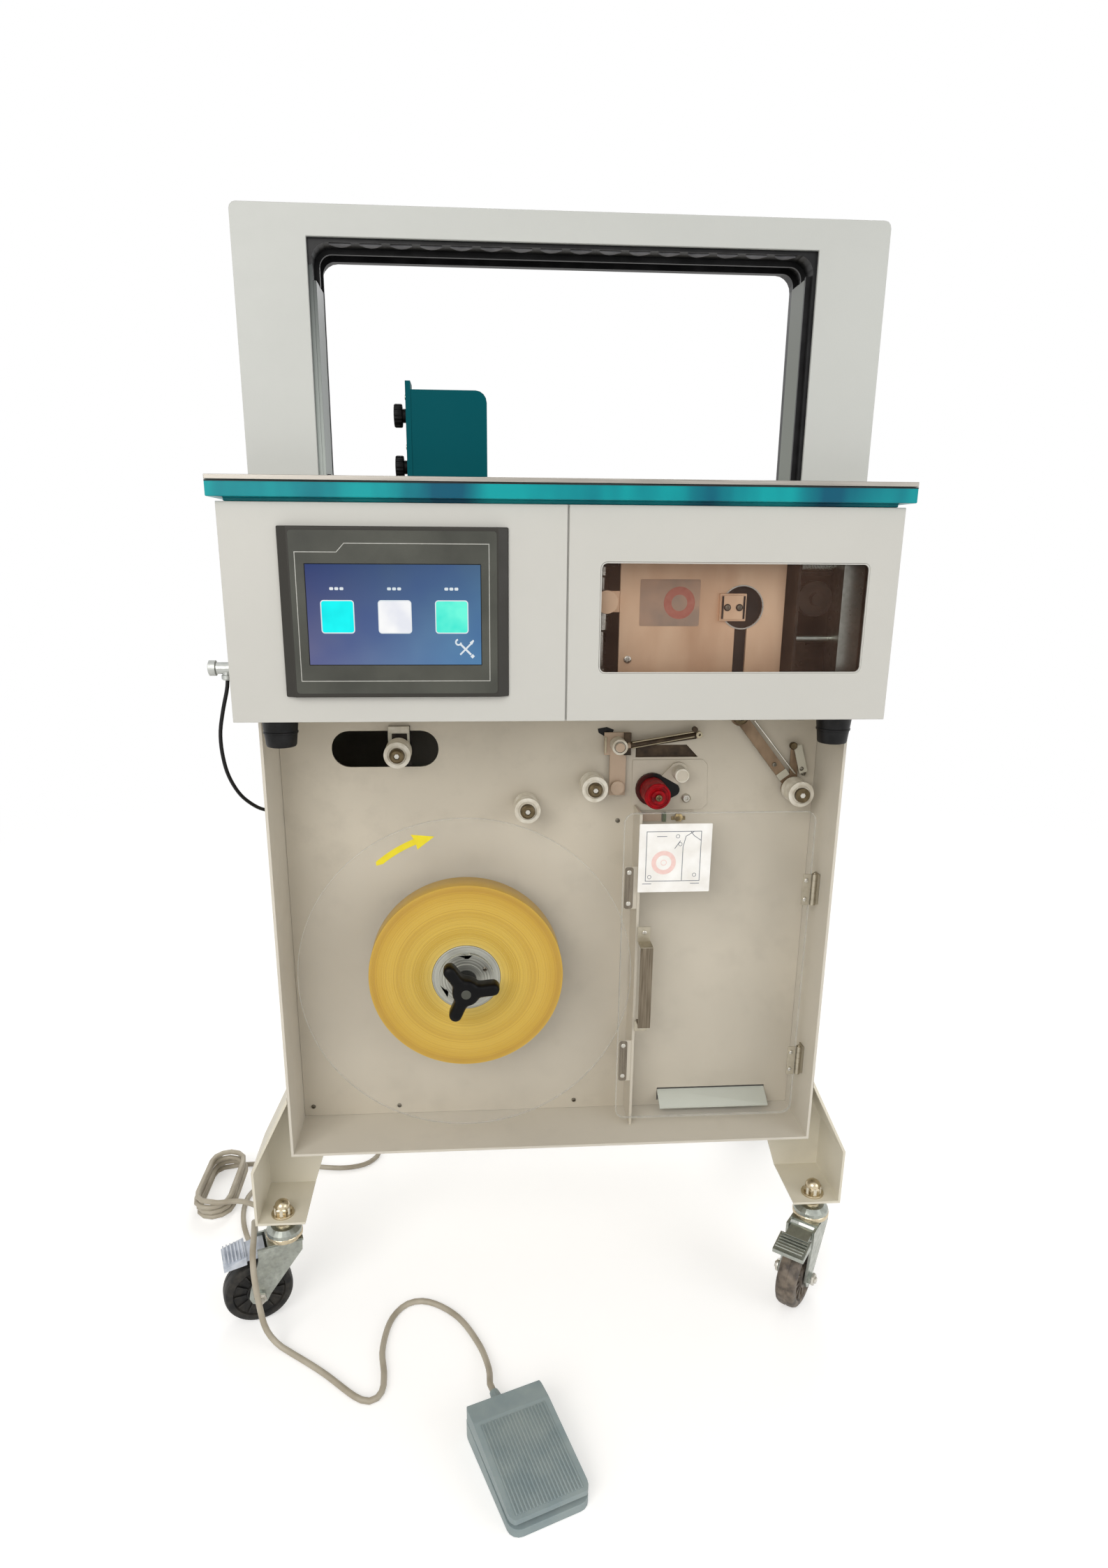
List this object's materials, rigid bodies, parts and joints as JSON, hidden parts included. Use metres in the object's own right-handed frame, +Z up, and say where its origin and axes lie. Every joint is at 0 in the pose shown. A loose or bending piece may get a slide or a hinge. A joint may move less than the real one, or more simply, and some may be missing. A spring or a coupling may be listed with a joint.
{
  "type": "banding machine",
  "caption": "Floor-standing film banding machine on casters: arch and track over a table, touch panel and window head, open film recess with reel, foot pedal on a lead.",
  "frame": {"origin": "centre of the plan of the machine with its pedal, at floor level", "axes": "+Z up, -Y towards the operator and the touch panel, +X to the operator's right"},
  "size_m": [0.8732, 0.687, 1.164],
  "materials": {
    "cabinet_shell": "beige-grey powder coat",
    "back_panel": "beige-grey powder coat",
    "leg_front_left": "beige-grey powder coat",
    "leg_front_right": "beige-grey powder coat",
    "leg_rear_left": "beige-grey powder coat",
    "leg_rear_right": "beige-grey powder coat",
    "head_shell": "off-white powder coat",
    "front_panel": "off-white powder coat",
    "touch_housing": "dark grey moulded plastic",
    "touch_screen": "lit blue display under glass",
    "rubber_foot_left": "black rubber",
    "rubber_foot_right": "black rubber",
    "table_band": "teal edge with a thin dark line",
    "table_plate": "brushed steel",
    "arch_shell": "light grey powder coat",
    "film_track": "black moulded guide",
    "roller_guard": "black moulded plastic",
    "film_partition": "beige-grey powder coat",
    "door_hinge_upper": "brushed steel",
    "door_hinge_lower": "brushed steel",
    "sealing_unit": "brushed steel",
    "side_fitting": "brushed steel",
    "side_cable": "black cable sheath",
    "lead_tail": "grey-beige cable sheath",
    "lead_bundle": "grey-beige cable sheath",
    "lead_run": "grey-beige cable sheath",
    "pedal_base": "blue-grey moulded plastic",
    "window_door": "off-white powder coat",
    "window_pane": "smoked clear sheet",
    "side_fence": "dark teal powder coat",
    "fence_knob_upper": "black moulded plastic",
    "fence_knob_lower": "black moulded plastic",
    "reel_hub": "brushed steel",
    "front_disc": "clear acrylic sheet",
    "film_roll": "amber wound plastic film",
    "star_knob": "black moulded plastic",
    "roller_left": "off-white engineering plastic",
    "roller_right": "off-white engineering plastic",
    "slot_bracket": "pale painted bracket with a steel stud",
    "roller_slot": "off-white engineering plastic",
    "lever_arm": "brushed steel",
    "roller_lever": "off-white engineering plastic",
    "pinch_bracket": "brushed steel",
    "pinch_roller": "off-white engineering plastic",
    "red_roller": "red rubber",
    "idler": "off-white engineering plastic",
    "film_door": "clear acrylic sheet",
    "door_handle": "brushed steel",
    "chute_flap": "beige-grey powder coat",
    "pedal_treadle": "blue-grey moulded plastic",
    "fork_front_left": "bright zinc plated pressed steel",
    "wheel_front_left": "dark rubber tread on a plastic core",
    "brake_front_left": "pale moulded pedal",
    "fork_front_right": "bright zinc plated pressed steel",
    "wheel_front_right": "dark rubber tread on a plastic core",
    "brake_front_right": "pale moulded pedal",
    "fork_rear_left": "bright zinc plated pressed steel",
    "wheel_rear_left": "dark rubber tread on a plastic core",
    "fork_rear_right": "bright zinc plated pressed steel",
    "wheel_rear_right": "dark rubber tread on a plastic core"
  },
  "bodies": {
    "cabinet": {"cabinet_shell": "cabinet_shell", "back_panel": "back_panel", "leg_front_left": "leg_front_left", "leg_front_right": "leg_front_right", "leg_rear_left": "leg_rear_left", "leg_rear_right": "leg_rear_right", "head_shell": "head_shell", "front_panel": "front_panel", "touch_housing": "touch_housing", "touch_screen": "touch_screen", "rubber_foot_left": "rubber_foot_left", "rubber_foot_right": "rubber_foot_right", "table_band": "table_band", "table_plate": "table_plate", "arch_shell": "arch_shell", "film_track": "film_track", "roller_guard": "roller_guard", "film_partition": "film_partition", "door_hinge_upper": "door_hinge_upper", "door_hinge_lower": "door_hinge_lower", "sealing_unit": "sealing_unit", "side_fitting": "side_fitting", "side_cable": "side_cable", "lead_tail": "lead_tail", "lead_bundle": "lead_bundle", "lead_run": "lead_run", "pedal_base": "pedal_base"},
    "window_door": {"window_door": "window_door", "window_pane": "window_pane"},
    "fence": {"side_fence": "side_fence"},
    "fence_knob_upper": {"fence_knob_upper": "fence_knob_upper"},
    "fence_knob_lower": {"fence_knob_lower": "fence_knob_lower"},
    "reel": {"reel_hub": "reel_hub", "front_disc": "front_disc", "film_roll": "film_roll"},
    "star_knob": {"star_knob": "star_knob"},
    "roller_left": {"roller_left": "roller_left"},
    "roller_right": {"roller_right": "roller_right"},
    "slot_slider": {"slot_bracket": "slot_bracket"},
    "roller_slot": {"roller_slot": "roller_slot"},
    "lever": {"lever_arm": "lever_arm"},
    "roller_lever": {"roller_lever": "roller_lever"},
    "pinch": {"pinch_bracket": "pinch_bracket"},
    "pinch_roller": {"pinch_roller": "pinch_roller"},
    "red_roller": {"red_roller": "red_roller"},
    "idler": {"idler": "idler"},
    "film_door": {"film_door": "film_door", "door_handle": "door_handle"},
    "chute_flap": {"chute_flap": "chute_flap"},
    "treadle": {"pedal_treadle": "pedal_treadle"},
    "caster_front_left": {"fork_front_left": "fork_front_left"},
    "wheel_front_left": {"wheel_front_left": "wheel_front_left"},
    "brake_front_left": {"brake_front_left": "brake_front_left"},
    "caster_front_right": {"fork_front_right": "fork_front_right"},
    "wheel_front_right": {"wheel_front_right": "wheel_front_right"},
    "brake_front_right": {"brake_front_right": "brake_front_right"},
    "caster_rear_left": {"fork_rear_left": "fork_rear_left"},
    "wheel_rear_left": {"wheel_rear_left": "wheel_rear_left"},
    "caster_rear_right": {"fork_rear_right": "fork_rear_right"},
    "wheel_rear_right": {"wheel_rear_right": "wheel_rear_right"}
  },
  "joints": [
    {"name": "window_door_hinge", "type": "hinge", "parent": "cabinet", "child": "window_door", "pos_m": [0.309, -0.11676, 0.824], "axis": [0, 0, 1], "range_deg": [0, 105]},
    {"name": "fence_slide", "type": "slide", "parent": "cabinet", "child": "fence", "axis": [1, 0, 0], "range_m": [-0.06, 0.3]},
    {"name": "fence_knob_upper_turn", "type": "hinge", "parent": "fence", "child": "fence_knob_upper", "pos_m": [-0.1473, -0.06876, 0.9975], "axis": [1, 0, 0], "continuous": true},
    {"name": "fence_knob_lower_turn", "type": "hinge", "parent": "fence", "child": "fence_knob_lower", "pos_m": [-0.1473, -0.06876, 0.954], "axis": [1, 0, 0], "continuous": true},
    {"name": "reel_spin", "type": "hinge", "parent": "cabinet", "child": "reel", "pos_m": [-0.0987, -0.01676, 0.43], "axis": [0, 1, 0], "continuous": true},
    {"name": "star_knob_turn", "type": "hinge", "parent": "reel", "child": "star_knob", "pos_m": [-0.0987, -0.04526, 0.43], "axis": [0, 1, 0], "continuous": true},
    {"name": "roller_left_spin", "type": "hinge", "parent": "cabinet", "child": "roller_left", "pos_m": [-0.03, 0.00024, 0.612], "axis": [0, 1, 0], "continuous": true},
    {"name": "roller_right_spin", "type": "hinge", "parent": "cabinet", "child": "roller_right", "pos_m": [0.043, 0.00024, 0.635], "axis": [0, 1, 0], "continuous": true},
    {"name": "slot_slide", "type": "slide", "parent": "cabinet", "child": "slot_slider", "axis": [1, 0, 0], "range_m": [-0.05, 0.019]},
    {"name": "roller_slot_spin", "type": "hinge", "parent": "slot_slider", "child": "roller_slot", "pos_m": [-0.168, 0.00024, 0.674], "axis": [0, 1, 0], "continuous": true},
    {"name": "lever_swing", "type": "hinge", "parent": "cabinet", "child": "lever", "pos_m": [0.206, 0.01724, 0.708], "axis": [0, 1, 0], "range_deg": [0, 25], "stiffness_Nm_per_rad": 0.4, "springref_deg": -20.05},
    {"name": "roller_lever_spin", "type": "hinge", "parent": "lever", "child": "roller_lever", "pos_m": [0.271, 0.00024, 0.627], "axis": [0, 1, 0], "continuous": true},
    {"name": "pinch_swing", "type": "hinge", "parent": "cabinet", "child": "pinch", "pos_m": [0.0715, 0.01724, 0.63], "axis": [0, 1, 0], "range_deg": [-4, 4]},
    {"name": "pinch_roller_spin", "type": "hinge", "parent": "pinch", "child": "pinch_roller", "pos_m": [0.0705, 0.00694, 0.679], "axis": [0, 1, 0], "continuous": true},
    {"name": "red_roller_spin", "type": "hinge", "parent": "cabinet", "child": "red_roller", "pos_m": [0.1112, 0.00014, 0.627], "axis": [0, 1, 0], "continuous": true},
    {"name": "idler_spin", "type": "hinge", "parent": "cabinet", "child": "idler", "pos_m": [0.1401, 0.00964, 0.6467], "axis": [0, 1, 0], "continuous": true},
    {"name": "film_door_hinge", "type": "hinge", "parent": "cabinet", "child": "film_door", "pos_m": [0.2908, -0.02226, 0.4225], "axis": [0, 0, 1], "range_deg": [0, 100]},
    {"name": "chute_flap_hinge", "type": "hinge", "parent": "cabinet", "child": "chute_flap", "pos_m": [0.2, 0.02449, 0.2435], "axis": [1, 0, 0], "range_deg": [-50, 0]},
    {"name": "swivel_front_left", "type": "hinge", "parent": "cabinet", "child": "caster_front_left", "pos_m": [-0.3185, -0.03676, 0.116], "axis": [0, 0, 1], "continuous": true, "deforming": ["lead_run"]},
    {"name": "roll_front_left", "type": "hinge", "parent": "caster_front_left", "child": "wheel_front_left", "pos_m": [-0.35159, -0.04815, 0.04], "axis": [0.3256, -0.9455, 0], "continuous": true},
    {"name": "brake_front_left_press", "type": "hinge", "parent": "caster_front_left", "child": "brake_front_left", "pos_m": [-0.34592, -0.0462, 0.0945], "axis": [0.3256, -0.9455, 0], "range_deg": [0, 6]},
    {"name": "swivel_front_right", "type": "hinge", "parent": "cabinet", "child": "caster_front_right", "pos_m": [0.3185, -0.03676, 0.116], "axis": [0, 0, 1], "continuous": true},
    {"name": "roll_front_right", "type": "hinge", "parent": "caster_front_right", "child": "wheel_front_right", "pos_m": [0.29647, -0.06396, 0.04], "axis": [0.7771, -0.6293, 0], "continuous": true},
    {"name": "brake_front_right_press", "type": "hinge", "parent": "caster_front_right", "child": "brake_front_right", "pos_m": [0.30025, -0.05929, 0.0945], "axis": [0.7771, -0.6293, 0], "range_deg": [0, 6]},
    {"name": "swivel_rear_left", "type": "hinge", "parent": "cabinet", "child": "caster_rear_left", "pos_m": [-0.3185, 0.31524, 0.116], "axis": [0, 0, 1], "continuous": true},
    {"name": "roll_rear_left", "type": "hinge", "parent": "caster_rear_left", "child": "wheel_rear_left", "pos_m": [-0.3535, 0.31524, 0.04], "axis": [0, -1, 0], "continuous": true},
    {"name": "swivel_rear_right", "type": "hinge", "parent": "cabinet", "child": "caster_rear_right", "pos_m": [0.3185, 0.31524, 0.116], "axis": [0, 0, 1], "continuous": true},
    {"name": "roll_rear_right", "type": "hinge", "parent": "caster_rear_right", "child": "wheel_rear_right", "pos_m": [0.3535, 0.31524, 0.04], "axis": [0, 1, 0], "continuous": true},
    {"name": "treadle_press", "type": "hinge", "parent": "cabinet", "child": "treadle", "pos_m": [-0.06521, -0.21626, 0.022], "axis": [0.9373, 0.3486, 0], "range_deg": [0, 2.3], "stiffness_Nm_per_rad": 2, "springref_deg": -14.32}
  ]
}
